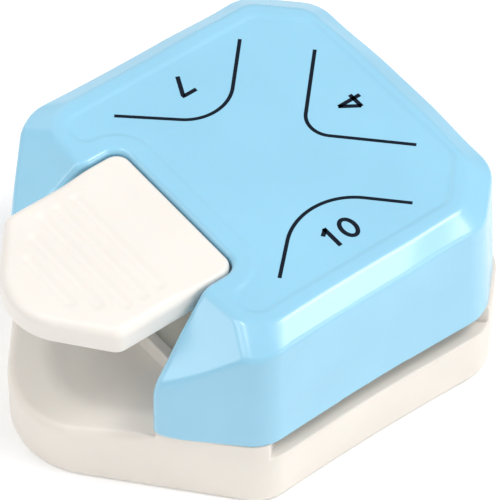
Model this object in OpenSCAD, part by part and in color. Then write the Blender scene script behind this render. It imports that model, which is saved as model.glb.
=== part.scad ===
// Three-way paper corner rounder: a hand punch with one lever and three cutting stations.
// Paper corners go into slots on the two sides and at the rear; pressing the lever at the
// front drives a ram with three cutters. +Z is up, the lever points to -Y, and the part
// stands on its foot pads with the origin at the bottom centre of its box.

/* [Outline] */
// Width across the two side waists of the base
body_w = 75; // [74:0.5:76]
// Distance from the centre of the stations to the rear waist
rear_len = 37; // [36.5:0.5:38]
// Distance from the centre of the stations to the nose of the base
nose_len = 53; // [52:0.5:54]
// Distance from the centre of the stations to the tip of the lever
lever_len = 54.3; // [54:0.1:56]

/* [Heights] */
// Height of the seam between base and cover
seam_z = 16.5; // [16:0.1:17]
// Height of the floor of a paper slot at its mouth
slot_floor_z = 12.2; // [12:0.1:12.4]
// Height of the top panel of the cover
top_z = 44.2; // [44:0.1:46]
// Height and width of the bevel round the top panel
bevel = 3; // [2:0.5:4]

/* [Cutting stations] */
// Corner radius that the rear station cuts
rear_r = 4; // [3:0.5:5]
// Corner radius that the left station cuts
left_r = 7; // [6:0.5:8]
// Corner radius that the right station cuts
right_r = 10; // [9:0.5:10]
// Distance of the side stations' paper corner from the middle
side_stop = 10.5; // [10.3:0.1:11]
// Vertical travel of the ram
travel = 5; // [4:0.5:5]
// Clearance between a cutter and its die and guide plate
cut_gap = 0.1; // [0.08:0.01:0.15]

/* [Lever] */
// Width of the thumb plate of the lever
lever_w = 35.2; // [33:0.2:35.4]
// Thickness of the thumb plate
lever_t = 5.2; // [4.5:0.1:5.4]
// Radius of the hinge pin
pin_r = 1.5; // [1.3:0.1:1.8]

/* [Hidden] */

$fn = 64;
hull_fn = 32;
eps = 0.01;
big = 200;

white = [0.96, 0.95, 0.92];
blue = [0.66, 0.87, 0.98];
grey = [0.86, 0.85, 0.81];
steel = [0.72, 0.73, 0.75];
spring_steel = [0.62, 0.63, 0.66];
rubber = [0.20, 0.21, 0.22];

// The origin is at the middle of the whole length, so everything drawn about the centre of
// the stations moves back or forward by this much.
shift_y = (lever_len - rear_len) / 2;
half_w = body_w / 2;
wall = 2.2;
skin = 2;
foot_z = 0.3;            // underside of the base, which the foot pads hold off the table
root2 = sqrt(2);

// Base outline: round corners between the waists and the 45 degree corner faces.
corner_r = 9;
corner_sum = 64.2;       // x + y on the rear corner faces of the base
cover_corner_sum = 63.1; // the same on the cover
flank_sum = 62.8;         // x - y on the front flanks
nose_r = 17;

// Cover outline
cover_gap = 0.3;         // the cover stands this much inside the base
cover_front = 39.6;      // front end of the two wings
slope_y = -26.5;         // where the wings' sloping fronts leave the top
recess_w = lever_w + 1;  // gap between the wings at its rear end
recess_y = -17;          // rear edge of the gap
recess_w2 = 43.2;        // gap between the wings at their front ends

// Stations
side_y = 2.1;            // where the side stations' paper corners stop
rear_stop = 11.5;
die_top = 13.6;
die_t = 2;
gate_z = 15.2;           // ceiling over the paper
mouth_x = 31;            // the slot mouths are open to their full height outside this
deck_z = 10.2;           // underside of the base's deck
margin = 1;              // a cutter reaches this far past the paper stops
cutter_z = 15.6;
ram_z = 24;
ram_t = 7;
frame_t = 2;             // thickness of the guide frame's plate
plate_t = 1.5;           // thickness of a guide plate

// Lever mechanism
pin_y = 27;
pin_z = 35;
pin_len = 32.6;
hub_r = 4.5;
hub_w = 26;
run_gap = 0.05;          // radial running clearance of the pins
arm_z = 36;
arm_t = 4.2;
arm_w = 16;
skirt_z = 36;            // lower edge of the cover's wall behind the thumb plate
cheek_t = 3;
nub_y = 5;
nub_r = 5;
lever_z = top_z - 0.4;   // top of the thumb plate
lever_back = -17.4;
lever_shoulder = -43;
lever_nose_r = 8.4;

// Guide posts and springs
post_x = 12;
post_y = -12;
post_r = 2;
post_top = 33;
well_r = 3.8;
well_z = 6;
spring_wire = 0.4;       // radius of the wire
spring_r = 2.8;          // radius to the middle of the wire
spring_top = 27;
spring_turns = 7;

// Bottom plate and waste door
plate_z = 2.9;           // top of the bottom plate
door_w = 38;
door_front = -24;
door_hinge_y = 25;
door_z = 1.6;
door_half = 0.9;
trunnion_r = 0.7;
door_gap = 0.4;

// Fasteners
cover_screw_pos = [[25.5, 27], [-25.5, 27], [27, -25], [-27, -25]];
frame_screw_pos = [[18, 19.5], [-18, 19.5], [26.5, -18], [-26.5, -18]];
die_screw_pos = [[11.5, 10.1], [11.5, -5.9], [-11.5, 10.1], [-11.5, -5.9], [5, 12], [-5, 12]];
foot_pos = [[13, -37], [-13, -37], [17, 31], [-17, 31]];
screw_r = 1.5;
head_r = 2.8;
small_screw_r = 1.25;
tiny_screw_r = 0.9;

// Centres of the corner circles of an outline, for circles of radius r that touch the
// waists (side, rear), the rear corner faces (x + y = rear_sum) and the front flanks.
function outline_corners(side, rear, rear_sum, front_sum, r) = [
    [side - r, rear_sum - side + r - r * root2],
    [rear_sum - rear + r - r * root2, rear - r],
    [side - r, -(front_sum - side + r - r * root2)]];

// One convex block with round corners and a bevel round its top
module block(corners, r, z0, z1, top_bevel = 0) {
    hull() for (c = corners, s = [-1, 1]) translate([s * c[0], c[1], z0]) {
        cylinder(r = r, h = z1 - z0 - top_bevel, $fn = hull_fn);
        cylinder(r = r - top_bevel, h = z1 - z0, $fn = hull_fn);
    }
}

// The base's outline, drawn in by inset, with its round nose
module base_block(inset, z0, z1) {
    corners = outline_corners(half_w, rear_len, corner_sum, flank_sum, corner_r);
    hull() {
        for (c = corners, s = [-1, 1])
            translate([s * c[0], c[1], z0]) cylinder(r = corner_r - inset, h = z1 - z0, $fn = hull_fn);
        translate([0, nose_r - nose_len, z0]) cylinder(r = nose_r - inset, h = z1 - z0, $fn = 48);
    }
}

// The cover's outline, drawn in by inset, with its bevelled top
module cover_block(inset, z0, z1) {
    corners = outline_corners(half_w - cover_gap, rear_len - cover_gap, cover_corner_sum,
                              flank_sum, corner_r);
    tip = [flank_sum - cover_front + corner_r - corner_r * root2, corner_r - cover_front];
    block(concat(corners, [tip]), corner_r - inset, z0, z1, bevel - inset / 2);
}

// Moves what is drawn about the centre of the stations to the part's own frame
module placed() {
    translate([0, shift_y, 0]) children();
}

// Places a child drawn with its paper corner at the origin, opening towards +X, at a station
module at_right() {
    translate([side_stop, side_y, 0]) children();
}

module at_left() {
    mirror([1, 0, 0]) at_right() children();
}

module at_rear() {
    translate([0, rear_stop, 0]) rotate(90) children();
}

// Outline of a cutter: the corner it takes off, with the round edge it leaves on the paper
module cutter(r, grow = 0) {
    k = r / root2;
    m = margin + grow;
    difference() {
        polygon([[-m, 0], [k + grow, k + grow + m], [k + grow, -k - grow - m]]);
        translate([r * root2, 0]) circle(r = r - grow);
    }
}

// Wedge of space that the paper slides into, between two stops at 45 degrees
module paper_wedge(z0, z1, trim = 0, reach = 60) {
    translate([0, 0, z0]) linear_extrude(z1 - z0)
        polygon([[trim, 0], [reach, reach - trim], [reach, trim - reach]]);
}

// The slot at one station: high at its mouth, then narrowing onto the die
module slot(mouth) {
    difference() {
        paper_wedge(slot_floor_z, seam_z + 1);
        // raised floor with a sloping lead-in
        translate([0, big / 2, 0]) rotate([90, 0, 0]) linear_extrude(big)
            polygon([[-9, 0], [-9, die_top], [mouth - 2, die_top], [mouth, slot_floor_z], [mouth, 0]]);
    }
    paper_wedge(die_top, seam_z + 1, 0, mouth);
}

// Pad that hangs from the guide frame and closes the slot down to the paper's thickness
module gate_pad(mouth) {
    intersection() {
        paper_wedge(gate_z, seam_z + eps, 0.4);
        translate([0, big / 2, 0]) rotate([90, 0, 0]) linear_extrude(big)
            polygon([[-9, seam_z + 1], [-9, gate_z], [mouth - 3, gate_z], [mouth - 1, seam_z + 1]]);
    }
}

// Rectangle of a die or guide plate, given from the paper corner
module plate_outline(back, front, half) {
    translate([-back, -half]) square([back + front, 2 * half]);
}

module side_die_outline() {
    plate_outline(2.5, 11.5, 11.1);
}

module rear_die_outline() {
    plate_outline(2.2, 8.5, 7);
}

module prism(z0, z1) {
    translate([0, 0, z0]) linear_extrude(z1 - z0) children();
}

module posts(positions, r, z0, z1) {
    for (p = positions) translate([p[0], p[1], z0]) cylinder(r = r, h = z1 - z0);
}

// Space in front between the wings, down to the sloping apron of the base
module apron_cut() {
    rise = 11.3;
    intersection() {
        translate([-big / 2, -nose_len, slot_floor_z]) rotate([rise, 0, 0])
            translate([0, -10, 0]) cube([big, 60, 40]);
        union() {
            translate([-big / 2, -big - cover_front, 0]) cube([big, big, 60]);
            translate([-recess_w2 / 2, -60, 0]) cube([recess_w2, 31, 60]);
        }
    }
}

module base_shell() {
    color(white) placed() difference() {
        union() {
            difference() {
                base_block(0, foot_z, seam_z);
                base_block(wall, 0, deck_z);
                apron_cut();
            }
            // low wall between the wings that closes the front of the mechanism
            translate([-18, -29, deck_z]) cube([36, 2.5, 20 - deck_z]);
            posts([[post_x, post_y], [-post_x, post_y]], well_r + 1.5, 4, deck_z + eps);
            posts(cover_screw_pos, 3.6, plate_z, deck_z + eps);
        }
        at_right() slot(mouth_x - side_stop);
        at_left() slot(mouth_x - side_stop);
        at_rear() slot(mouth_x - rear_stop);
        // ways for the cutters, pockets for the dies and chutes for the chips
        at_right() prism(deck_z - 1, seam_z + 1) cutter(right_r, 0.3);
        at_left() prism(deck_z - 1, seam_z + 1) cutter(left_r, 0.3);
        at_rear() prism(deck_z - 1, seam_z + 1) cutter(rear_r, 0.3);
        for (s = [0, 1]) mirror([s, 0, 0]) at_right() prism(deck_z - 1, die_top) side_die_outline();
        at_rear() prism(deck_z - 1, die_top) rear_die_outline();
        posts([[post_x, post_y], [-post_x, post_y]], well_r, well_z, seam_z + 1);
        posts([[post_x, post_y], [-post_x, post_y]], post_r, 0, seam_z);
        posts(cover_screw_pos, screw_r, 0, seam_z + 1);
        posts(frame_screw_pos, small_screw_r, 11, seam_z + 1);
        posts(die_screw_pos, tiny_screw_r, deck_z, 15.5);
    }
}

module bottom_plate() {
    color(white) placed() difference() {
        base_block(wall + 0.1, foot_z, plate_z);
        translate([-door_w / 2 - door_gap, door_front - door_gap, -1])
            cube([door_w + 2 * door_gap, door_hinge_y - door_front + door_half + 2 * door_gap, 5]);
        // fingernail notch in front of the door
        translate([0, door_front - door_gap, -1]) cylinder(r = 6, h = 5);
        translate([-door_w / 2 - 2.5, door_hinge_y, door_z]) rotate([0, 90, 0])
            cylinder(r = trunnion_r + run_gap, h = door_w + 5);
        posts(cover_screw_pos, screw_r, -1, 4);
        posts(cover_screw_pos, head_r, -1, foot_z + 1.7);
        posts(foot_pos, 3.5, -1, 0.9);
    }
}

module waste_door() {
    color(white) placed() {
        translate([-door_w / 2, door_front, door_z - door_half])
            cube([door_w, door_hinge_y - door_front, 2 * door_half]);
        translate([-door_w / 2, door_hinge_y, door_z]) rotate([0, 90, 0])
            cylinder(r = door_half, h = door_w);
        translate([-door_w / 2 - 2.3, door_hinge_y, door_z]) rotate([0, 90, 0])
            cylinder(r = trunnion_r, h = door_w + 4.6);
        // stiffening ribs and a nail lip
        for (x = [-14, 0, 14]) translate([x - 0.6, door_front + 4, door_z])
            cube([1.2, door_hinge_y - door_front - 8, door_half + 1]);
        translate([-5, door_front + 0.4, door_z]) cube([10, 1.4, door_half + 1.8]);
    }
}

module foot_pads() {
    color(rubber) placed() posts(foot_pos, 3.5, 0, 0.9);
}

module guide_frame() {
    top = seam_z + frame_t;
    color(grey) placed() difference() {
        union() {
            prism(seam_z, top)
                polygon([[-33, -22], [-26, -26.2], [26, -26.2], [33, -22],
                         [33, 21], [21, 33], [-21, 33], [-33, 21]]);
            at_right() gate_pad(mouth_x - side_stop);
            at_left() gate_pad(mouth_x - side_stop);
            at_rear() gate_pad(mouth_x - rear_stop);
            // cheeks that carry the hinge pin
            for (s = [-1, 1]) hull() {
                translate([s * (hub_w / 2 + 0.3 + cheek_t / 2), pin_y, pin_z]) rotate([0, 90, 0])
                    cylinder(r = 4, h = cheek_t, center = true, $fn = hull_fn);
                translate([s * (hub_w / 2 + 0.3 + cheek_t / 2) - cheek_t / 2, pin_y - 6, top - 1])
                    cube([cheek_t, 11.5, 1]);
            }
        }
        at_right() prism(0, top + 1) cutter(right_r, 0.3);
        at_left() prism(0, top + 1) cutter(left_r, 0.3);
        at_rear() prism(0, top + 1) cutter(rear_r, 0.3);
        for (s = [0, 1]) mirror([s, 0, 0]) at_right() prism(top - plate_t, top + 1) side_die_outline();
        at_rear() prism(top - plate_t, top + 1) rear_die_outline();
        posts([[post_x, post_y], [-post_x, post_y]], well_r, 0, top + 1);
        posts(cover_screw_pos, 3.8, 0, top + 1);
        posts(frame_screw_pos, small_screw_r, 0, top + 1);
        translate([0, pin_y, pin_z]) rotate([0, 90, 0]) cylinder(r = pin_r, h = 60, center = true);
    }
}

// Space between the wings, grown by grow
module recess(grow = 0) {
    back = recess_w / 2 + grow;
    front = recess_w2 / 2 + grow;
    prism(0, 60) polygon([[-back, recess_y + grow], [back, recess_y + grow], [front, -cover_front],
                          [front, -70], [-front, -70], [-front, -cover_front]]);
}

// Everything above the plane of the wings' sloping fronts, moved in by depth
module slope_cut(depth = 0) {
    translate([-big / 2, slope_y, top_z - 1.7]) rotate([45, 0, 0])
        translate([0, -60, -depth]) cube([big, 80, 60]);
}

module top_cover() {
    color(blue) placed() difference() {
        union() {
            difference() {
                cover_block(0, seam_z, top_z);
                difference() {
                    cover_block(skin, seam_z - 1, top_z - skin);
                    recess(skin);
                    slope_cut(skin);
                }
            }
            posts(cover_screw_pos, 3.5, seam_z, top_z - skin + eps);
        }
        slope_cut();
        recess();
        // the wall behind the thumb plate is a short skirt, with a way for the lever's arm
        translate([-recess_w / 2, recess_y - 1, 0]) cube([recess_w, 6, skirt_z]);
        translate([-arm_w / 2 - 1, recess_y - 1, 0]) cube([arm_w + 2, 6, arm_z + arm_t + 1]);
        // room for the guide frame under the inner walls of the wings
        translate([-26.3, -26.5, 0]) cube([52.6, 30, seam_z + frame_t + 0.3]);
        posts(cover_screw_pos, screw_r, 0, 24.5);
    }
}

// The thumb plate's outline, drawn in by inset
module thumb_plate(z0, z1) {
    shoulder_r = 3;
    side = lever_w / 2 - shoulder_r;
    hull() {
        for (s = [-1, 1], y = [lever_shoulder + shoulder_r / 2, lever_back - shoulder_r])
            translate([s * side, y, z0]) cylinder(r = shoulder_r, h = z1 - z0, $fn = hull_fn);
        translate([0, lever_nose_r - lever_len, z0]) cylinder(r = lever_nose_r, h = z1 - z0, $fn = 48);
    }
}

module lever() {
    color(white) placed() difference() {
        union() {
            thumb_plate(lever_z - lever_t, lever_z);
            // arm under the cover, its ribs, the hub and the nub that presses the ram
            translate([-arm_w / 2, lever_shoulder + 8, arm_z + 2]) cube([arm_w, 20, arm_t - 2]);
            translate([-arm_w / 2, lever_back - 4, arm_z]) cube([arm_w, pin_y - lever_back + 4, arm_t]);
            translate([-hub_w / 2, pin_y - 9, arm_z]) cube([hub_w, 9, 3]);
            translate([-hub_w / 2, pin_y, pin_z]) rotate([0, 90, 0]) cylinder(r = hub_r, h = hub_w);
            translate([-6, nub_y, ram_z + ram_t + 1.1 + nub_r]) rotate([0, 90, 0]) cylinder(r = nub_r, h = 12);
            for (s = [-1, 1]) translate([s * 5 - 1, nub_y, pin_z - 1.5]) cube([2, pin_y - nub_y, 3]);
        }
        translate([0, pin_y, pin_z]) rotate([0, 90, 0])
            cylinder(r = pin_r + run_gap, h = hub_w + 2, center = true);
        // five shallow grip grooves, shorter towards the nose
        for (i = [0:4]) {
            w = i < 3 ? 27 : 27 - (i - 2) * 6.5;
            translate([-w / 2, -31.5 - 3.7 * i, lever_z - 0.3]) cube([w, 2, 1]);
        }
    }
}

module lever_pin() {
    color(steel) placed() translate([0, pin_y, pin_z]) rotate([0, 90, 0])
        cylinder(r = pin_r, h = pin_len, center = true);
}

module ram() {
    color(grey) placed() difference() {
        union() {
            prism(ram_z, ram_z + ram_t) {
                translate([-19.5, -7.5]) square([39, 19.2]);
                translate([-8, -14]) square([16, 31]);
            }
            posts([[post_x, post_y], [-post_x, post_y]], 5.5, ram_z, ram_z + ram_t);
        }
        posts([[post_x, post_y], [-post_x, post_y]], post_r + run_gap, 0, 60);
        posts([[post_x, post_y], [-post_x, post_y]], well_r, 0, spring_top);
        at_right() prism(0, ram_z + 4) cutter(right_r);
        at_left() prism(0, ram_z + 4) cutter(left_r);
        at_rear() prism(0, ram_z + 4) cutter(rear_r);
    }
}

module wear_plate() {
    color(steel) placed() translate([-7, nub_y - 5, ram_z + ram_t]) cube([14, 10, 0.8]);
}

module guide_posts() {
    color(steel) placed() posts([[post_x, post_y], [-post_x, post_y]], post_r, 4, post_top);
}

// Coil spring swept as a ring of facets along a helix, with its ends wound close
module coil_spring(x) {
    steps = 20 * spring_turns;
    sides = 8;
    z0 = well_z + spring_wire + 0.05;
    z1 = spring_top - spring_wire - 0.05;
    function rise(t) = z0 + (z1 - z0) * (t - sin(360 * t) / (2 * PI) * 0.55);
    points = [for (i = [0:steps], j = [0:sides - 1])
        let (t = i / steps, a = 360 * spring_turns * t, b = 360 * j / sides, d = spring_r + spring_wire * cos(b))
        [x + d * cos(a), post_y + d * sin(a), rise(t) + spring_wire * sin(b)]];
    bands = [for (i = [0:steps - 1], j = [0:sides - 1])
        let (a = i * sides + j, b = i * sides + (j + 1) % sides) [a, b, b + sides, a + sides]];
    ends = [[for (j = [sides - 1:-1:0]) j], [for (j = [0:sides - 1]) steps * sides + j]];
    color(spring_steel) placed() polyhedron(points, concat(bands, ends), convexity = 10);
}

module return_spring_left() {
    coil_spring(-post_x);
}

module return_spring_right() {
    coil_spring(post_x);
}

module punch(r) {
    prism(cutter_z, ram_z + 4) cutter(r);
}

module punch_r4() {
    color(steel) placed() at_rear() punch(rear_r);
}

module punch_r7() {
    color(steel) placed() at_left() punch(left_r);
}

module punch_r10() {
    color(steel) placed() at_right() punch(right_r);
}

module side_plate(r, z0, z1) {
    prism(z0, z1) difference() {
        side_die_outline();
        cutter(r, cut_gap);
    }
}

module rear_plate(r, z0, z1) {
    prism(z0, z1) difference() {
        rear_die_outline();
        cutter(r, cut_gap);
    }
}

module die_holes() {
    posts(die_screw_pos, tiny_screw_r, 0, 30);
}

module die_r4() {
    color(steel) placed() difference() {
        at_rear() rear_plate(rear_r, die_top - die_t, die_top);
        die_holes();
    }
}

module die_r7() {
    color(steel) placed() difference() {
        at_left() side_plate(left_r, die_top - die_t, die_top);
        die_holes();
    }
}

module die_r10() {
    color(steel) placed() difference() {
        at_right() side_plate(right_r, die_top - die_t, die_top);
        die_holes();
    }
}

module guide_plate_r4() {
    color(steel) placed() at_rear() rear_plate(rear_r, seam_z + frame_t - plate_t, seam_z + frame_t);
}

module guide_plate_r7() {
    color(steel) placed() at_left() side_plate(left_r, seam_z + frame_t - plate_t, seam_z + frame_t);
}

module guide_plate_r10() {
    color(steel) placed() at_right() side_plate(right_r, seam_z + frame_t - plate_t, seam_z + frame_t);
}

// Screw with a pan head and a cross recess, standing on its head or hanging from it
module screw(r, head, head_h, length) {
    difference() {
        union() {
            cylinder(r = r, h = length + head_h);
            cylinder(r = head, h = head_h);
        }
        for (a = [0, 90]) rotate(a) translate([-head * 0.6, -0.3, -eps]) cube([head * 1.2, 0.6, head_h * 0.5]);
    }
}

module cover_screws() {
    color(steel) placed() for (p = cover_screw_pos)
        translate([p[0], p[1], foot_z + 0.2]) screw(screw_r, head_r, 1.5, 22);
}

module frame_screws() {
    top = seam_z + frame_t;
    color(steel) placed() for (p = frame_screw_pos)
        translate([p[0], p[1], top + 1.5]) mirror([0, 0, 1]) screw(small_screw_r, 2.5, 1.5, 7);
}

module die_screws() {
    color(steel) placed() for (p = die_screw_pos)
        translate([p[0], p[1], die_top - die_t - 1]) screw(tiny_screw_r, 1.7, 1, 3.5);
}

base_shell();
bottom_plate();
waste_door();
foot_pads();
guide_frame();
top_cover();
lever();
lever_pin();
ram();
wear_plate();
guide_posts();
return_spring_left();
return_spring_right();
punch_r4();
punch_r7();
punch_r10();
die_r4();
die_r7();
die_r10();
guide_plate_r4();
guide_plate_r7();
guide_plate_r10();
cover_screws();
frame_screws();
die_screws();
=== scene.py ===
"""Visual model of a three-way paper corner rounder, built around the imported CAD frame.

The cover, the base and the lever are modelled as smooth distance fields and meshed here.
Their numbers are millimetres in the "station frame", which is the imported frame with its
origin moved along Y to the middle of the three cutting stations: +Z up, the lever towards -Y.
"""

import math

import bpy
import numpy as np
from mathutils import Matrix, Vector


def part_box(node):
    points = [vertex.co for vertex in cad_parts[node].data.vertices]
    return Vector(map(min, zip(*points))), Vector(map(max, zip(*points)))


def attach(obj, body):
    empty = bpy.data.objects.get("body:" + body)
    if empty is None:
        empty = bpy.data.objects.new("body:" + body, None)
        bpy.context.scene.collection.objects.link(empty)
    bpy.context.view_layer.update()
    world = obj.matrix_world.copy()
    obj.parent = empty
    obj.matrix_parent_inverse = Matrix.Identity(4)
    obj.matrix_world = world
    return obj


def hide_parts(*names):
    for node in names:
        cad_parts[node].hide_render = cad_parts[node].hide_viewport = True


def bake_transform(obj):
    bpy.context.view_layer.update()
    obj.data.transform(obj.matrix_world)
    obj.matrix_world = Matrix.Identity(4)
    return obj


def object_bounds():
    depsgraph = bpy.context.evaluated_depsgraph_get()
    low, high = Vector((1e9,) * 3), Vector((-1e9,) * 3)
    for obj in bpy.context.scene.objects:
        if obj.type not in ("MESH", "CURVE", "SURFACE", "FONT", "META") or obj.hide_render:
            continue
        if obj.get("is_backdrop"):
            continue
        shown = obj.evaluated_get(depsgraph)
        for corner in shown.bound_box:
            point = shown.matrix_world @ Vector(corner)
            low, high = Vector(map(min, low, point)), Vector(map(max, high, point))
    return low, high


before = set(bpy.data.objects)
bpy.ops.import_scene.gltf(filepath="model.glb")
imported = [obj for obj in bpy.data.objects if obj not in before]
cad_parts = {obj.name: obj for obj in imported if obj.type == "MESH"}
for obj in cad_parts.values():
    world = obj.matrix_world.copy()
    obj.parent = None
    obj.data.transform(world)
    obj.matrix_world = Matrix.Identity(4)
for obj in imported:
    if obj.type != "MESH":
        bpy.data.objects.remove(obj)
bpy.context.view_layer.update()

MM = 0.001


# ------------------------------------------------------------------ sizes from the frame

def box_mm(node):
    low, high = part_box(node)
    return np.array(low) / MM, np.array(high) / MM


base_low, base_high = box_mm("base_shell")
cover_low, cover_high = box_mm("top_cover")
lever_low = box_mm("lever")[0]
pin_low, pin_high = box_mm("lever_pin")
spring_low, spring_high = box_mm("return_spring_right")

REAR = 37.0                           # stations' centre to the rear waist
SHIFT_Y = base_high[1] - REAR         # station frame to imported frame
HALF_W = base_high[0]
FOOT = base_low[2]
SEAM = cover_low[2]
TOP = cover_high[2]
NOSE = base_low[1] - SHIFT_Y
LEVER_TIP = lever_low[1] - SHIFT_Y
LEVER_TOP = TOP - 0.4
FRAME_TOP = SEAM + 2.0                # top face of the guide frame's plate
PIN_Y = (pin_low[1] + pin_high[1]) / 2 - SHIFT_Y
PIN_Z = (pin_low[2] + pin_high[2]) / 2
POST = ((spring_low[0] + spring_high[0]) / 2, (spring_low[1] + spring_high[1]) / 2 - SHIFT_Y)

CORNER_R = 9.0                        # upright corners of the cover and the base
# Screws on the right-hand side. The left-hand ones mirror them.
COVER_SCREWS = [(25.5, 27.0), (27.0, -25.0)]
FRAME_SCREWS = [(18.0, 19.5), (26.5, -18.0)]
DIE_SCREWS = [(11.5, 10.1), (11.5, -5.9), (5.0, 12.0)]


# ------------------------------------------------------------------ distance field tools

def both(a, b, r=0.0):
    """Intersection of two fields, with the edge between them rounded by r."""
    if not np.any(r):
        return np.maximum(a, b)
    return np.minimum(-r, np.maximum(a, b)) + np.hypot(np.maximum(a + r, 0), np.maximum(b + r, 0))


def blend(a, b, width):
    """Like both(), for faces that meet at a shallow angle."""
    near = np.clip(1 - np.abs(a - b) / width, 0, None)
    return np.maximum(a, b) + near * near * width / 4


def either(a, b, r=0.0):
    return -both(-a, -b, r)


def cut(a, b, r=0.0):
    return both(a, -b, r)


def slab(v, low, high):
    return np.abs(v - (low + high) / 2) - (high - low) / 2


def block(x, y, z, low, high, r=0.0):
    flat = both(slab(x, low[0], high[0]), slab(y, low[1], high[1]), r)
    return both(flat, slab(z, low[2], high[2]), r)


def disc(x, y, centre, r):
    return np.hypot(x - centre[0], y - centre[1]) - r


def ease(t):
    t = np.clip(t, 0, 1)
    return t * t * (3 - 2 * t)


def forward(y, rear, front, start, over):
    """A fillet radius that changes from rear to front, over a stretch ahead of y = -start."""
    return rear + (front - rear) * ease((-y - start) / over)


def polygon(x, y, points):
    """Exact distance to a closed polygon, negative inside."""
    nearest, inside = None, False
    for (ax, ay), (bx, by) in zip(points, points[1:] + points[:1]):
        ex, ey = bx - ax, by - ay
        wx, wy = x - ax, y - ay
        t = np.clip((wx * ex + wy * ey) / (ex * ex + ey * ey), 0, 1)
        d = (wx - ex * t) ** 2 + (wy - ey * t) ** 2
        nearest = d if nearest is None else np.minimum(nearest, d)
        if ay != by:
            inside = inside ^ (((ay > y) != (by > y)) & (wx < ex * wy / ey))
    nearest = np.sqrt(nearest)
    return np.where(inside, -nearest, nearest)


def arc(centre, r, start, end, steps=18):
    """Points along an arc, from and to angles in degrees."""
    angles = np.radians(np.linspace(start, end, steps + 1))
    return [(centre[0] + r * math.cos(a), centre[1] + r * math.sin(a)) for a in angles]


CUBE = np.array([(i, j, k) for i in (0, 1) for j in (0, 1) for k in (0, 1)])
CUBE_EDGES = [(a, b) for a in range(8) for b in range(a + 1, 8)
              if np.abs(CUBE[a] - CUBE[b]).sum() == 1]


MARGIN_BELOW, MARGIN_ABOVE = 1.5, 2.5     # air round the box, in cells
SNAP_PASSES = 4                           # moves of each point towards the true surface
SNAP_REACH = 0.4                          # longest move in one pass, in cells
SNAP_PROBE, NORMAL_PROBE = 0.05, 0.12     # mm to each side over which a slope is taken
LEAST_SLOPE = 0.05                        # keeps the moves finite where the field is flat
TINY = 1e-9


def surface_net(field, low, high, step):
    """Quad mesh of the zero surface of field(x, y, z), and its normals."""
    axes = [np.arange(low[i] - MARGIN_BELOW * step, high[i] + MARGIN_ABOVE * step, step)
            for i in range(3)]
    values = field(axes[0][:, None, None], axes[1][None, :, None], axes[2][None, None, :])
    values = np.broadcast_to(values, tuple(len(a) for a in axes))
    inside = values < 0
    shape = tuple(n - 1 for n in values.shape)
    count = np.zeros(shape, np.int8)
    for i, j, k in CUBE:
        count += inside[i:i + shape[0], j:j + shape[1], k:k + shape[2]]
    cells = np.argwhere((count > 0) & (count < 8))
    corner = np.stack([values[tuple((cells + c).T)] for c in CUBE], 1)
    total, hits = np.zeros((len(cells), 3)), np.zeros(len(cells))
    for a, b in CUBE_EDGES:
        va, vb = corner[:, a], corner[:, b]
        crossed = (va < 0) != (vb < 0)
        t = np.where(crossed, va / np.where(crossed, va - vb, 1), 0)
        total += np.where(crossed[:, None], CUBE[a] + t[:, None] * (CUBE[b] - CUBE[a]), 0)
        hits += crossed
    origin = np.array([a[0] for a in axes])
    points = origin + (cells + total / hits[:, None]) * step

    index = np.full(shape, -1)
    index[tuple(cells.T)] = np.arange(len(cells))
    quads = []
    for axis in range(3):
        u, v = (axis + 1) % 3, (axis + 2) % 3
        near = [slice(1, n) for n in shape]
        near[axis] = slice(0, shape[axis])
        far = list(near)
        far[axis] = slice(1, shape[axis] + 1)
        first, second = inside[tuple(near)], inside[tuple(far)]
        at = np.argwhere(first != second)
        outward = first[tuple(at.T)]
        for i in (u, v):
            at[:, i] += 1
        ring = []
        for du, dv in ((-1, -1), (0, -1), (0, 0), (-1, 0)):
            cell = at.copy()
            cell[:, u] += du
            cell[:, v] += dv
            ring.append(index[tuple(cell.T)])
        ring = np.stack(ring, 1)
        ring[~outward] = ring[~outward][:, ::-1]
        quads.append(ring)

    def gradient(p, h):
        parts = []
        for i in range(3):
            d = np.zeros(3)
            d[i] = h
            parts.append(field(*(p + d).T) - field(*(p - d).T))
        return np.stack(parts, 1) / (2 * h)

    for _ in range(SNAP_PASSES):
        g = gradient(points, SNAP_PROBE)
        f = field(*points.T)
        move = g * (f / np.maximum((g * g).sum(1), LEAST_SLOPE))[:, None]
        length = np.linalg.norm(move, axis=1)
        points -= move * np.minimum(1, SNAP_REACH * step / np.maximum(length, TINY))[:, None]
    normals = gradient(points, NORMAL_PROBE)
    normals /= np.maximum(np.linalg.norm(normals, axis=1), TINY)[:, None]
    return points, np.concatenate(quads), normals


# ------------------------------------------------------------------ making objects

def finish_piece(obj, body, slot_name, replaces=()):
    """Give a piece its material, slot and body. A piece with no body is left without a parent."""
    obj.data.materials.append(SLOT_MATERIAL[slot_name])
    if body:
        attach(obj, body)
    if replaces:
        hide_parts(*replaces)


def new_object(name, points, faces, normals=None, smooth=True):
    """Object from points in the station frame, in millimetres."""
    points = (np.asarray(points, float) + (0, SHIFT_Y, 0)) * MM
    mesh = bpy.data.meshes.new(name)
    mesh.from_pydata(points.tolist(), [], [list(map(int, f)) for f in faces])
    mesh.polygons.foreach_set("use_smooth", [smooth] * len(mesh.polygons))
    mesh.update()
    if normals is not None:
        mesh.normals_split_custom_set_from_vertices(normals.tolist())
    obj = bpy.data.objects.new(name, mesh)
    bpy.context.scene.collection.objects.link(obj)
    return obj


def field_object(name, field, low, high, step):
    points, faces, normals = surface_net(field, low, high, step)
    return new_object(name, points, faces, normals)


# ------------------------------------------------------------------ stations

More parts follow.
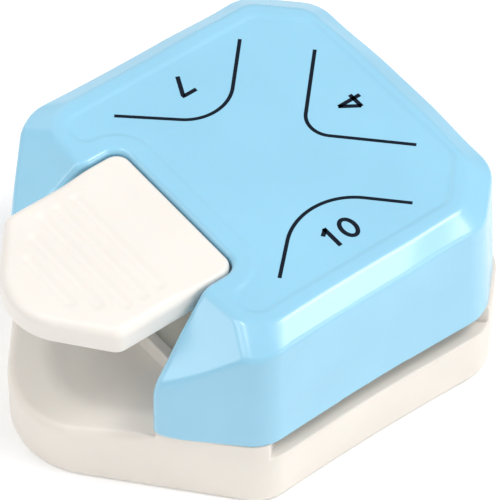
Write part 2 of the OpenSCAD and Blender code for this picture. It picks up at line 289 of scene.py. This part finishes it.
# Corner of the paper, direction it comes from, corner radius, and the die's
# reach behind and ahead of that corner and to each side
STATIONS = [
    ((10.5, 2.1), 0, 10, (2.5, 11.5, 11.1)),
    ((-10.5, 2.1), 180, 7, (2.5, 11.5, 11.1)),
    ((0.0, 11.5), 90, 4, (2.2, 8.5, 7.0)),
]
SLOT_FLOOR, DIE_TOP, DECK = 12.2, 13.6, 10.2
MOUTH, MOUTH_RAMP = 31.0, 2.0         # where a slot's floor drops, and the length of the drop
CUTTER_BACK = 1.0                     # how far a cutter reaches behind the paper's corner


def at_station(x, y, corner, turn):
    """Coordinates from the paper's corner, with the slot opening towards +X."""
    c, s = round(math.cos(math.radians(turn))), round(math.sin(math.radians(turn)))
    dx, dy = x - corner[0], y - corner[1]
    return c * dx + s * dy, c * dy - s * dx


def wedge(u, v):
    """The right-angled corner of a sheet of paper."""
    return (np.abs(v) - u) / math.sqrt(2)


def cutter(u, v, r, grow):
    """A cutter seen from above, larger by grow all round."""
    k = r / math.sqrt(2)
    m = CUTTER_BACK + grow
    corner = both(polygon(u, v, [(-m, 0.0), (k + grow, k + grow + m), (k + grow, -k - grow - m)]),
                  u - k - grow)
    return cut(corner, disc(u, v, (r * math.sqrt(2), 0), r - grow))


# ------------------------------------------------------------------ cover

def corner_centres(side, rear, rear_sum, front_sum, r):
    """Centres of the rounded corners at x > 0: side, rear, and flank towards the front.

    The cut-off corners run along x + y = rear_sum and x - y = front_sum.
    """
    root = r * math.sqrt(2)
    return [(side - r, rear_sum - side + r - root), (rear_sum - rear + r - root, rear - r),
            (side - r, side - front_sum - r + root)]


def mirrored(points):
    """A closed outline from its half at x > 0, listed from the rear to the front."""
    return points + [(-x, y) for x, y in reversed(points)]


WAIST_DEPTH, WAIST_HALF = 0.5, 22.0


def waisted(x, y):
    """Distance from the middle plane in which the hollow side waists become straight."""
    return np.abs(x) + WAIST_DEPTH * np.clip(1 - (y / WAIST_HALF) ** 2, 0, None)


COVER_GAP = 0.3                       # the cover stands back from the base's edge by this
COVER_FRONT = 40.6                    # reach of the wings
COVER_WALL = 2.0
BASE_CORNER_SUM, COVER_CORNER_SUM, FLANK_SUM = 64.2, 63.3, 62.8
COVER_C = corner_centres(HALF_W - COVER_GAP, REAR - COVER_GAP, COVER_CORNER_SUM, FLANK_SUM,
                         CORNER_R)
COVER_HALF = [COVER_C[1], COVER_C[0], COVER_C[2],
              (FLANK_SUM - COVER_FRONT + CORNER_R * (1 - math.sqrt(2)), CORNER_R - COVER_FRONT)]
SIDE_DRAFT = 0.012
REAR_LEAN, LEAN_FROM, LEAN_OVER = 0.024, 42, 14

PANEL_SIDE, PANEL_REAR, PANEL_CORNER_SUM, PANEL_FRONT = 29.2, 30.5, 51.6, 22.4
PANEL_R = 3.4
PANEL_DROP, PANEL_STEP = 0.32, 1.3    # depth of the lowered panel, and width of its edge
PANEL_RIM, PANEL_RIM_R = 4.0, 3.0     # the panel keeps this far from the thumb recess
PANEL_C = corner_centres(PANEL_SIDE, PANEL_REAR, PANEL_CORNER_SUM, 0, PANEL_R)
PANEL_HALF = [PANEL_C[1], PANEL_C[0], (PANEL_SIDE - PANEL_R, PANEL_R - PANEL_FRONT)]

# Half of the thumb recess's outline, from its back wall forwards, less its corner radius
RECESS_R = 3.3
RECESS = [(14.8, -20.3), (14.8, -24.0), (17.8, -39.6), (17.8, -75.0)]

# Sloping faces, each as its slope and its place: the rim's bevel, the facet over the
# flanks, and the long slope of the wings down to the front
BEVEL_OUT, BEVEL_UP, BEVEL_Z = 0.527, 0.85, 41.5
FACET_OUT, FACET_UP, FACET_AT = 0.318, 0.893, 56.3
SLOPE_OUT, SLOPE_FORWARD, SLOPE_UP, SLOPE_AT = 0.05, 0.713, 0.7, 50.2
CREST, CREST_LOW = 0.8, 1.2           # width of its blend at the top, and growth lower down

# Bosses for the cover screws
BOSS_R, BOSS_INSET, BOSS_TOP = 3.5, 0.6, TOP - 1.5
PILOT_R, PILOT_TOP = 1.5, 24.5


def cover_outline(x, y, z):
    """The cover seen from above at height z: its rear corners lean in towards the top."""
    lean = REAR_LEAN * (z - SEAM) * ease((np.abs(x) + y - LEAN_FROM) / LEAN_OVER)
    return polygon(waisted(x, y) + lean, y + lean, mirrored(COVER_HALF)) - CORNER_R


def recess(x, y):
    """The thumb recess seen from above."""
    return polygon(np.abs(x), y, mirrored(RECESS)) - RECESS_R


def cover_body(x, y, z):
    """The cover as if it were solid."""
    ax = np.abs(x)
    outline = cover_outline(x, y, z)
    gap = recess(x, y)
    side = outline + SIDE_DRAFT * (z - SEAM)
    bevel = BEVEL_OUT * side + BEVEL_UP * (z - BEVEL_Z)
    panel = both(polygon(ax, y, mirrored(PANEL_HALF)) - PANEL_R, PANEL_RIM - gap, PANEL_RIM_R)
    top = z - TOP + PANEL_DROP * ease(0.5 - panel / PANEL_STEP)
    facet = FACET_OUT * (ax - y) + FACET_UP * z - FACET_AT
    slope = SLOPE_OUT * ax - SLOPE_FORWARD * y + SLOPE_UP * z - SLOPE_AT
    body = both(both(side, bevel, 0.5), facet, 1.0)
    body = blend(both(body, top, 0.35), slope, CREST + CREST_LOW * ease((36 - z) / 8))
    return cut(body, gap, forward(y, 1.1, 1.9, 31, 6))


# Openings through the shell: for the lever's plate, for its arm, and over the guide frame
COVER_OPENINGS = [
    ((-1, -18, 0), (18.1, -12, 36), 0.3),
    ((-1, -18, 0), (9, -12, 41.2), 0.3),
    ((-1, -26.5, 0), (26.3, 3.5, FRAME_TOP + 0.3), 0.0),
]


def cover_field(x, y, z):
    """The hollow cover, with its screw bosses and openings."""
    ax = np.abs(x)
    body = cover_body(x, y, z)
    shell = cut(body, body + COVER_WALL)
    for centre in COVER_SCREWS:
        boss = disc(ax, y, centre, BOSS_R)
        shell = either(shell, both(both(boss, body + BOSS_INSET), z - BOSS_TOP))
        shell = cut(shell, both(disc(ax, y, centre, PILOT_R), z - PILOT_TOP))
    shell = both(shell, SEAM - z, forward(y, 0.35, 1.25, 36, 4))
    for low, high, r in COVER_OPENINGS:
        shell = cut(shell, block(ax, y, z, low, high, r))
    return shell


# ------------------------------------------------------------------ base

BASE_C = corner_centres(HALF_W, REAR, BASE_CORNER_SUM, FLANK_SUM, CORNER_R)
NOSE_R, NOSE_FROM = 17.0, -47.4       # radius of the rounded nose, and where it starts
NOSE_ARC = arc((0, NOSE + NOSE_R), NOSE_R - CORNER_R, NOSE_FROM, -90)
BASE_HALF = [BASE_C[1], BASE_C[0], BASE_C[2]] + NOSE_ARC
APRON = math.radians(11.3)            # rise of the apron towards the rear
CHANNEL_HALF, CHANNEL_REAR = 21.6, 29.0   # where the apron runs in under the cover
BASE_WALL = 2.2
OVERLAP = 0.1                         # how far a boss reaches into the deck above it

FRONT_WALL = ((-18, -29, DECK - 0.2), (18, -26.5, 20))
POST_BOSS_R, POST_BOSS_BOTTOM = 5.3, 4
SPRING_SEAT_R, SPRING_SEAT = 3.8, 6
POST_BORE_R, POST_BORE_TOP = 2.0, 7
PILLAR_R, PILLAR_BOTTOM = 3.6, 2.9
FRAME_PILOT_R, FRAME_PILOT_BOTTOM = 1.25, 11
DIE_PILOT_R, DIE_PILOT_TOP = 0.9, 15.5
CUTTER_PLAY = 0.3
DIE_SEAT = DECK - 1


def base_outline(x, y):
    """The base seen from above."""
    return polygon(waisted(x, y), y, mirrored(BASE_HALF)) - CORNER_R


def base_shape(x, y, z):
    """The base as if it were solid: its top follows the seam, and dips to the apron in front."""
    ax = np.abs(x)
    apron = (z - SLOT_FLOOR) * math.cos(APRON) - (y - NOSE) * math.sin(APRON)
    channel = np.minimum(y + COVER_FRONT, both(ax - CHANNEL_HALF, y + CHANNEL_REAR))
    dish = np.maximum(apron, np.minimum(z - SEAM, channel))
    ledge = both(z - SEAM, -channel, 0.2)
    top = either(dish, ledge, forward(y, 0, 2.5, 38.4, 2))
    rim = both(base_outline(x, y), top, forward(y, 0.4, 1.6, 36, 8))
    return both(rim, FOOT - z, 0.8)


def base_field(x, y, z):
    """The base with its hollow underside, bosses, slots, die pockets and bores."""
    ax = np.abs(x)
    hollow = both(base_outline(x, y) + BASE_WALL, z - DECK)
    body = cut(base_shape(x, y, z), hollow, 0.3)
    body = either(body, block(ax, y, z, *FRONT_WALL, 0.5), 0.4)
    bosses = [(POST, POST_BOSS_R, POST_BOSS_BOTTOM)]
    bosses += [(centre, PILLAR_R, PILLAR_BOTTOM) for centre in COVER_SCREWS]
    for centre, r, bottom in bosses:
        body = either(body, both(disc(ax, y, centre, r), slab(z, bottom, DECK + OVERLAP)))
    for corner, turn, r, (back, ahead, half) in STATIONS:
        u, v = at_station(x, y, corner, turn)
        mouth = MOUTH + at_station(0, 0, corner, turn)[0]
        floor = SLOT_FLOOR + (DIE_TOP - SLOT_FLOOR) * np.clip((mouth - u) / MOUTH_RAMP, 0, 1)
        body = cut(body, both(wedge(u, v), floor - z), 0.3)
        body = cut(body, both(cutter(u, v, r, CUTTER_PLAY), DIE_SEAT - z))
        pocket = both(slab(u, -back, ahead), np.abs(v) - half)
        body = cut(body, both(pocket, slab(z, DIE_SEAT, DIE_TOP)))
    body = cut(body, both(disc(ax, y, POST, SPRING_SEAT_R), SPRING_SEAT - z))
    body = cut(body, both(disc(ax, y, POST, POST_BORE_R), slab(z, -5, POST_BORE_TOP)))
    for centre in COVER_SCREWS:
        body = cut(body, disc(ax, y, centre, PILOT_R))
    for centre in FRAME_SCREWS:
        body = cut(body, both(disc(ax, y, centre, FRAME_PILOT_R), FRAME_PILOT_BOTTOM - z))
    for centre in DIE_SCREWS:
        bore = both(disc(ax, y, centre, DIE_PILOT_R), slab(z, DIE_SEAT, DIE_PILOT_TOP))
        body = cut(body, bore)
    return body


# ------------------------------------------------------------------ lever

PLATE_R, PLATE_T = 3.0, 5.8
TIP_R, TIP_FROM, TIP_GAP = 13.0, -53, 0.15
TIP_ARC = arc((0, LEVER_TIP + TIP_GAP + TIP_R), TIP_R - PLATE_R, TIP_FROM, -90)
PLATE_HALF = [(14.6, -20.4), (14.6, -42.1)] + TIP_ARC

# Grip grooves: place along the plate, and length across it
GROOVES = [(-30.8, 27.0), (-34.6, 27.0), (-38.3, 27.0), (-42.3, 21.0), (-46.1, 14.0)]
GROOVE_DEPTH, GROOVE_HALF = 0.36, 1.6
GROOVE_FADE = 1.6                     # length over which a groove runs out at each end

# Blocks of the arm from the plate back to the hinge, and a rib on each side from the nub
ARM = [
    ((-8, -35, 38), (8, -15, 40.2), 0.5),
    ((-8, -21.4, 36), (8, PIN_Y, 40.2), 0.4),
    ((-13, PIN_Y - 9, 36), (13, PIN_Y, 39), 0.4),
]
RIB = ((4, 5, 33.5), (6, PIN_Y, 36.5), 0.2)
HUB_R, HUB_HALF = 4.5, 13
NUB, NUB_R, NUB_HALF = (5, 37.1), 5.0, 6
PIN_BORE_R = 1.55


def lever_plate(x, y, z):
    """The thumb plate, with its grip grooves and an edge that gets rounder to the front."""
    ax = np.abs(x)
    outline = polygon(ax, y, mirrored(PLATE_HALF)) - PLATE_R
    top = z - LEVER_TOP
    for at, length in GROOVES:
        along = ease((length / 2 - ax) / GROOVE_FADE + 0.5)
        across = 0.5 + 0.5 * np.cos(np.clip((y - at) / GROOVE_HALF, -1, 1) * math.pi)
        top = top + GROOVE_DEPTH * along * across
    plate = both(outline, top, forward(y, 0.9, 2.0, 24, 8))
    return both(plate, LEVER_TOP - PLATE_T - z, 0.8)


def lever_field(x, y, z):
    """The plate, the arm that reaches back under the cover, the hinge hub and the nub."""
    ax = np.abs(x)
    arm = block(ax, y, z, *ARM[0])
    for low, high, r in ARM[1:]:
        arm = either(arm, block(ax, y, z, low, high, r))
    hub = both(disc(y, z, (PIN_Y, PIN_Z), HUB_R), ax - HUB_HALF, 0.5)
    nub = both(disc(y, z, NUB, NUB_R), ax - NUB_HALF, 0.4)
    works = either(either(hub, nub), block(ax, y, z, *RIB))
    body = either(either(lever_plate(x, y, z), arm, 0.6), works, 0.5)
    return cut(body, disc(y, z, (PIN_Y, PIN_Z), PIN_BORE_R), 0.3)


# ------------------------------------------------------------------ materials

def node_material(name):
    m = bpy.data.materials.new(name)
    m.use_nodes = True
    tree = m.node_tree
    shader = next(n for n in tree.nodes if n.type == "BSDF_PRINCIPLED")
    return m, tree, shader


def add(tree, kind, **inputs):
    """New node with its inputs set; an underscore in a name stands for a space."""
    n = tree.nodes.new(kind)
    for key, value in inputs.items():
        n.inputs[key.replace("_", " ")].default_value = value
    return n


def object_coords(tree, scale=(1, 1, 1)):
    coords = tree.nodes.new("ShaderNodeTexCoord")
    mapping = tree.nodes.new("ShaderNodeMapping")
    mapping.inputs["Scale"].default_value = scale
    tree.links.new(coords.outputs["Object"], mapping.inputs["Vector"])
    return mapping.outputs["Vector"]


def noise(tree, coords, scale, detail=3.0, roughness=0.5):
    n = add(tree, "ShaderNodeTexNoise", Scale=scale, Detail=detail, Roughness=roughness)
    tree.links.new(coords, n.inputs["Vector"])
    return n.outputs["Fac"]


def ramp(tree, factor, stops):
    r = tree.nodes.new("ShaderNodeValToRGB")
    points = r.color_ramp.elements
    while len(points) < len(stops):
        points.new(0.5)
    for point, (position, colour) in zip(points, stops):
        point.position = position
        point.color = (*colour, 1)
    tree.links.new(factor, r.inputs["Fac"])
    return r.outputs["Color"]


def span(tree, factor, low, high):
    """Stretch a factor from 0..1 to low..high."""
    n = add(tree, "ShaderNodeMapRange", To_Min=low, To_Max=high)
    tree.links.new(factor, n.inputs["Value"])
    return n.outputs["Result"]


def bump(tree, height, strength, distance, onto=None):
    n = add(tree, "ShaderNodeBump", Strength=strength, Distance=distance)
    tree.links.new(height, n.inputs["Height"])
    if onto is not None:
        tree.links.new(onto, n.inputs["Normal"])
    return n.outputs["Normal"]


def linear(rgb):
    """Scene-linear colour from an sRGB colour given as 0-255."""
    return tuple(c / 255 / 12.92 if c <= 10.3 else ((c / 255 + 0.055) / 1.055) ** 2.4
                 for c in rgb)


def scaled(colour, k):
    return tuple(min(1.0, c * k) for c in colour)


def plastic(name, rgb, rough=(0.3, 0.42), grain=0.05, subsurface=0.0, coat=0.0):
    """Moulded plastic: faint cloudiness, a fine mould grain and a soft long-wave ripple."""
    m, tree, shader = node_material(name)
    base = linear(rgb)
    coords = object_coords(tree)
    cloud = noise(tree, coords, 60.0, 4.0)
    fine = noise(tree, coords, 4200.0, 2.0, 0.6)
    ripple = noise(tree, coords, 160.0, 2.0)
    colour = ramp(tree, cloud, [(0.3, scaled(base, 0.975)), (0.7, scaled(base, 1.025))])
    tree.links.new(colour, shader.inputs["Base Color"])
    tree.links.new(span(tree, fine, *rough), shader.inputs["Roughness"])
    soft = bump(tree, ripple, 0.04, 0.0004)
    tree.links.new(bump(tree, fine, grain, 0.00006, soft), shader.inputs["Normal"])
    shader.inputs["IOR"].default_value = 1.49
    shader.inputs["Subsurface Weight"].default_value = subsurface
    shader.inputs["Subsurface Scale"].default_value = 0.0015
    shader.inputs["Coat Weight"].default_value = coat
    shader.inputs["Coat Roughness"].default_value = 0.12
    return m


def metal(name, rgb, rough, stretch, scale, dents=0.0):
    """Ground or drawn metal: fine lines along one direction with uneven sheen."""
    m, tree, shader = node_material(name)
    base = linear(rgb)
    lines = noise(tree, object_coords(tree, stretch), scale, 5.0, 0.7)
    stain = noise(tree, object_coords(tree), 350.0, 4.0)
    colour = ramp(tree, stain, [(0.25, scaled(base, 0.82)), (0.75, scaled(base, 1.06))])
    tree.links.new(colour, shader.inputs["Base Color"])
    tree.links.new(span(tree, lines, *rough), shader.inputs["Roughness"])
    normal = bump(tree, lines, 0.12, 0.00003)
    if dents:
        normal = bump(tree, noise(tree, object_coords(tree), 900.0), dents, 0.0001, normal)
    tree.links.new(normal, shader.inputs["Normal"])
    shader.inputs["Metallic"].default_value = 1.0
    return m


def rubber(name, rgb):
    """Matt rubber with dust in its grain."""
    m, tree, shader = node_material(name)
    base = linear(rgb)
    coords = object_coords(tree)
    dust = noise(tree, coords, 900.0, 5.0, 0.7)
    grain = noise(tree, coords, 5000.0, 2.0)
    colour = ramp(tree, dust, [(0.35, base), (0.8, scaled(base, 2.2))])
    tree.links.new(colour, shader.inputs["Base Color"])
    tree.links.new(span(tree, dust, 0.65, 0.9), shader.inputs["Roughness"])
    tree.links.new(bump(tree, grain, 0.3, 0.0001), shader.inputs["Normal"])
    return m


def ink(name, rgb):
    """Screen-printed ink: slightly uneven density and a faint edge of gloss."""
    m, tree, shader = node_material(name)
    base = linear(rgb)
    coords = object_coords(tree)
    density = noise(tree, coords, 2500.0, 4.0, 0.6)
    colour = ramp(tree, density, [(0.3, base), (0.8, scaled(base, 1.6))])
    tree.links.new(colour, shader.inputs["Base Color"])
    tree.links.new(span(tree, density, 0.45, 0.6), shader.inputs["Roughness"])
    tree.links.new(bump(tree, density, 0.1, 0.00003), shader.inputs["Normal"])
    shader.inputs["Specular IOR Level"].default_value = 0.2
    return m


BLUE = (147, 202, 228)
WHITE = (230, 223, 214)
LEVER_WHITE = (233, 228, 221)
INNER_WHITE = (238, 233, 222)
TOOL_STEEL = (168, 170, 174)
BRIGHT_STEEL = (196, 198, 202)
WIRE = (150, 150, 154)
ZINC = (186, 188, 186)
RUBBER_GREY = (40, 41, 43)
INK_BLUE_BLACK = (4, 16, 30)

SLOT_MATERIAL = {
    "base_plastic": plastic("base_white_plastic", WHITE, (0.34, 0.46), 0.06, 0.05),
    "cover_plastic": plastic("cover_blue_plastic", BLUE, (0.2, 0.3), 0.03, 0.05, 0.15),
    "lever_plastic": plastic("lever_white_plastic", LEVER_WHITE, (0.36, 0.48), 0.06, 0.05),
    "inner_plastic": plastic("inner_white_plastic", INNER_WHITE, (0.42, 0.58), 0.1),
    "tool_steel": metal("ground_tool_steel", TOOL_STEEL, (0.22, 0.42), (1, 14, 1), 700.0),
    "bright_steel": metal("drawn_bright_steel", BRIGHT_STEEL, (0.12, 0.3), (1, 1, 0.08), 1500.0),
    "spring_steel": metal("spring_wire", WIRE, (0.25, 0.45), (1, 1, 1), 2500.0, 0.1),
    "screw_steel": metal("zinc_plated_screw", ZINC, (0.25, 0.5), (1, 1, 1), 1800.0, 0.2),
    "foot_rubber": rubber("foot_rubber", RUBBER_GREY),
    "ink": ink("printed_ink", INK_BLUE_BLACK),
}


# ------------------------------------------------------------------ the three moulded parts

STEP = 0.5
LEVER_STEP = STEP * 0.8

cover = field_object("cover", cover_field, (-HALF_W, -41, SEAM), (HALF_W, REAR, TOP), STEP)
finish_piece(cover, "housing", "cover_plastic", ["top_cover"])

base = field_object("base", base_field, (-HALF_W, NOSE, FOOT), (HALF_W, REAR, 20), STEP)
finish_piece(base, "housing", "base_plastic", ["base_shell"])

thumb = field_object("thumb_lever", lever_field, (-17.6, LEVER_TIP, 30), (17.6, PIN_Y + 5, TOP),
                     LEVER_STEP)
finish_piece(thumb, "lever", "lever_plastic", ["lever"])


# ------------------------------------------------------------------ springs

COIL_R, WIRE_R, COIL_TURNS = 2.8, 0.4, 7
CLOSED = 0.55                         # how much closer the end turns lie, from 0 to 1


def coil(name, centre, z0, z1, radius, wire, turns):
    """Wound compression spring with its end turns closed, as one tube."""
    steps, sides = 44 * turns, 12
    rows = []
    start, end = z0 + wire, z1 - wire
    for i in range(steps + 1):
        t = i / steps
        rise = start + (end - start) * (t - math.sin(2 * math.pi * t) / (2 * math.pi) * CLOSED)
        a = 2 * math.pi * turns * t
        out = np.array([math.cos(a), math.sin(a), 0])
        for j in range(sides):
            b = 2 * math.pi * j / sides
            rows.append(np.array([*centre, rise]) + out * (radius + wire * math.cos(b))
                        + np.array([0, 0, wire * math.sin(b)]))
    faces = [(i * sides + j, i * sides + (j + 1) % sides, (i + 1) * sides + (j + 1) % sides,
              (i + 1) * sides + j) for i in range(steps) for j in range(sides)]
    faces += [list(range(sides))[::-1], [steps * sides + j for j in range(sides)]]
    return new_object(name, rows, faces)


for side, node in ((-1, "return_spring_left"), (1, "return_spring_right")):
    low, high = box_mm(node)
    spring = coil(node + "_coil", (side * POST[0], POST[1]), low[2], high[2], COIL_R, WIRE_R,
                  COIL_TURNS)
    finish_piece(spring, None, "spring_steel", [node])
    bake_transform(spring)


# ------------------------------------------------------------------ printed marks

PANEL_Z = TOP - PANEL_DROP
INK_T, INK_SUNK = 0.03, 0.1           # ink above the panel, and below it so that none floats
LEG, STROKE = 21.0, 0.72              # of the printed curves
NUMBER_HEIGHT, NUMBER_STROKE, DIGIT_PITCH = 5.0, 0.85, 0.80


def ribbon(path, width):
    """Flat printed line along a path, as a thin closed strip."""
    path = np.array(path)
    along = np.gradient(path, axis=0)
    along /= np.linalg.norm(along, axis=1)[:, None]
    out = np.stack([-along[:, 1], along[:, 0]], 1) * width / 2
    rows = []
    for z in (PANEL_Z - INK_SUNK, PANEL_Z + INK_T):
        for edge in (path - out, path + out):
            rows += [(x, y, z) for x, y in edge]
    n = len(path)
    faces = []
    for i in range(n - 1):
        a, b, c, d = i, n + i, 2 * n + i, 3 * n + i
        faces += [(c, c + 1, d + 1, d), (a, b, b + 1, a + 1), (a, a + 1, c + 1, c),
                  (b, d, d + 1, b + 1)]
    faces += [(0, 2 * n, 3 * n, n), (n - 1, 2 * n - 1, 4 * n - 1, 3 * n - 1)]
    return rows, faces


def print_path(name, strokes, place, turn, width):
    """One printed mark made of strokes, turned about +Z and moved to its place."""
    t = math.radians(turn)
    rows, faces = [], []
    for path in strokes:
        path = [(place[0] + x * math.cos(t) - y * math.sin(t),
                 place[1] + x * math.sin(t) + y * math.cos(t)) for x, y in path]
        more, sides = ribbon(path, width)
        faces += [[len(rows) + i for i in f] for f in sides]
        rows += more
    mark = new_object(name, rows, faces, smooth=False)
    finish_piece(mark, "housing", "ink")


def line(start, end, steps=12):
    (x0, y0), (x1, y1) = start, end
    return [(x0 + (x1 - x0) * i / steps, y0 + (y1 - y0) * i / steps) for i in range(steps + 1)]


def corner_strokes(r, opening):
    """A paper corner rounded by r: two legs that meet at the origin, and the arc between them."""
    half = math.radians(opening / 2)
    reach, centre = r / math.tan(half), r / math.sin(half)
    leg = (math.cos(half), math.sin(half))
    first = line((LEG * leg[0], -LEG * leg[1]), (reach * leg[0], -reach * leg[1]))
    bend = arc((centre, 0), r, 270 - opening / 2, 90 + opening / 2, 30)
    last = line((reach * leg[0], reach * leg[1]), (LEG * leg[0], LEG * leg[1]))
    return [first + bend[1:-1] + last]


def oval(rx, ry, steps=40):
    angles = np.radians(np.linspace(0, 360, steps + 1))
    return [(rx * math.cos(a), ry * math.sin(a)) for a in angles]


# Plain numerals, drawn as strokes in a box of height 1 about the origin
DIGITS = {
    "7": [line((-0.30, 0.43), (0.30, 0.43)) + line((0.29, 0.40), (-0.12, -0.5))],
    "4": [line((0.14, -0.5), (0.14, 0.5)), line((0.16, 0.5), (-0.33, -0.2)),
          line((-0.36, -0.2), (0.36, -0.2))],
    "1": [line((0.05, -0.5), (0.05, 0.5)), line((0.08, 0.46), (-0.20, 0.22))],
    "0": [oval(0.27, 0.43)],
}


def number_strokes(text, height):
    strokes = []
    for i, digit in enumerate(text):
        at = (i - (len(text) - 1) / 2) * DIGIT_PITCH
        strokes += [[((x + at) * height, y * height) for x, y in path] for path in DIGITS[digit]]
    return strokes


# Number, corner of the mark, its turn and opening, drawn radius, the number's place and turn
MARKS = [
    (7, (-10.75, 2.3), 182.3, 91.8, 8.9, (-23.0, 1.2), -90),
    (4, (-0.2, 11.7), 90.3, 91.4, 5.0, (-0.6, 23.4), 180),
    (10, (10.3, 2.35), -1.3, 91.3, 12.4, (22.8, 2.2), 90),
]
for number, corner, turn, opening, r, place, facing in MARKS:
    print_path(f"mark_r{number}", corner_strokes(r, opening), corner, turn, STROKE)
    print_path(f"number_{number}", number_strokes(str(number), NUMBER_HEIGHT), place, facing,
               NUMBER_STROKE)


# ------------------------------------------------------------------ carried-over CAD nodes

# Slot, and width of the rounded edges in mm
KEPT = {
    "bottom_plate": ("base_plastic", 0.3), "waste_door": ("base_plastic", 0.3),
    "foot_pads": ("foot_rubber", 0.25), "guide_frame": ("inner_plastic", 0.25),
    "ram": ("inner_plastic", 0.3), "lever_pin": ("bright_steel", 0.2),
    "guide_posts": ("bright_steel", 0.3), "wear_plate": ("bright_steel", 0.12),
    "punch_r4": ("tool_steel", 0.06), "punch_r7": ("tool_steel", 0.06),
    "punch_r10": ("tool_steel", 0.06), "die_r4": ("tool_steel", 0.06),
    "die_r7": ("tool_steel", 0.06), "die_r10": ("tool_steel", 0.06),
    "guide_plate_r4": ("tool_steel", 0.06), "guide_plate_r7": ("tool_steel", 0.06),
    "guide_plate_r10": ("tool_steel", 0.06), "cover_screws": ("screw_steel", 0.1),
    "frame_screws": ("screw_steel", 0.1), "die_screws": ("screw_steel", 0.06),
}

SHARP = math.radians(40)

for node, (slot_name, width) in KEPT.items():
    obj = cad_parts[node]
    if not obj.material_slots:
        obj.data.materials.append(None)
    for s in obj.material_slots:
        s.link = "OBJECT"
        s.material = SLOT_MATERIAL[slot_name]
    edge = obj.modifiers.new("edges", "BEVEL")
    edge.width, edge.segments = width * MM, 2
    edge.limit_method, edge.angle_limit = "ANGLE", SHARP
    weighted = obj.modifiers.new("normals", "WEIGHTED_NORMAL")
    weighted.keep_sharp = True


# ------------------------------------------------------------------ floor, lights and camera

FLOOR_HALF = 3.0
FLOOR_GLOW = 0.14                     # lifts the paper to a plain white


def studio_floor():
    mesh = bpy.data.meshes.new("floor")
    corners = [(x * FLOOR_HALF, y * FLOOR_HALF, 0) for x, y in ((-1, -1), (1, -1), (1, 1), (-1, 1))]
    mesh.from_pydata(corners, [], [(0, 1, 2, 3)])
    obj = bpy.data.objects.new("floor", mesh)
    bpy.context.scene.collection.objects.link(obj)
    m, tree, shader = node_material("pale_floor")
    paper = noise(tree, object_coords(tree), 120.0, 4.0)
    colour = ramp(tree, paper, [(0.3, (0.90, 0.90, 0.90)), (0.7, (0.93, 0.93, 0.93))])
    tree.links.new(colour, shader.inputs["Base Color"])
    tree.links.new(span(tree, paper, 0.7, 0.8), shader.inputs["Roughness"])
    shader.inputs["Emission Color"].default_value = (1, 1, 1, 1)
    shader.inputs["Emission Strength"].default_value = FLOOR_GLOW
    mesh.materials.append(m)
    obj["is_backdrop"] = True


LIGHT_TARGET = Vector((0, 0, 0.02))
LIGHTS = [  # name, place, size and power
    ("top_softbox", (0.307, 0.393, 0.856), 0.35, 4.95),
    ("right_softbox", (0.86, 0.33, 0.39), 0.5, 2.7),
    ("key_light", (-0.04, -0.36, 0.93), 0.12, 1.5),
    ("front_softbox", (-0.22, -0.58, 0.78), 0.25, 1.3),
    ("low_front_softbox", (-0.40, -0.80, 0.42), 0.35, 1.4),
    ("left_softbox", (-0.9, 0.1, 0.42), 0.6, 0.8),
]
WORLD_STRENGTH = 0.37


def area_light(name, place, size, power):
    data = bpy.data.lights.new(name, "AREA")
    data.shape, data.size, data.energy = "SQUARE", size, power
    obj = bpy.data.objects.new(name, data)
    obj.location = place
    obj.rotation_euler = (LIGHT_TARGET - Vector(place)).to_track_quat("-Z", "Y").to_euler()
    bpy.context.scene.collection.objects.link(obj)


CAMERA_TURN, CAMERA_RISE = math.radians(52.5), math.radians(49.85)
CAMERA_DISTANCE = 0.850
CAMERA_LENS = 321.3
CAMERA_AIM = (-7.84, 5.27, 7.95)      # station frame, mm


def camera():
    az, el = CAMERA_TURN, CAMERA_RISE
    back = Vector((math.sin(az) * math.cos(el), -math.cos(az) * math.cos(el), math.sin(el)))
    aim = (Vector(CAMERA_AIM) + Vector((0, SHIFT_Y, 0))) * MM
    data = bpy.data.cameras.new("camera")
    data.sensor_width, data.lens = 36.0, CAMERA_LENS
    data.clip_start, data.clip_end = 0.05, 20
    obj = bpy.data.objects.new("camera", data)
    obj.location = aim + back * CAMERA_DISTANCE
    obj.rotation_euler = (-back).to_track_quat("-Z", "Y").to_euler()
    bpy.context.scene.collection.objects.link(obj)
    bpy.context.scene.camera = obj


def world_light(strength):
    world = bpy.data.worlds.new("studio")
    bpy.context.scene.world = world
    world.use_nodes = True
    background = world.node_tree.nodes["Background"]
    background.inputs["Color"].default_value = (1.0, 1.0, 1.0, 1)
    background.inputs["Strength"].default_value = strength


studio_floor()
camera()
world_light(WORLD_STRENGTH)
for light in LIGHTS:
    area_light(*light)
bpy.context.scene.view_settings.view_transform = "Standard"

low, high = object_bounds()
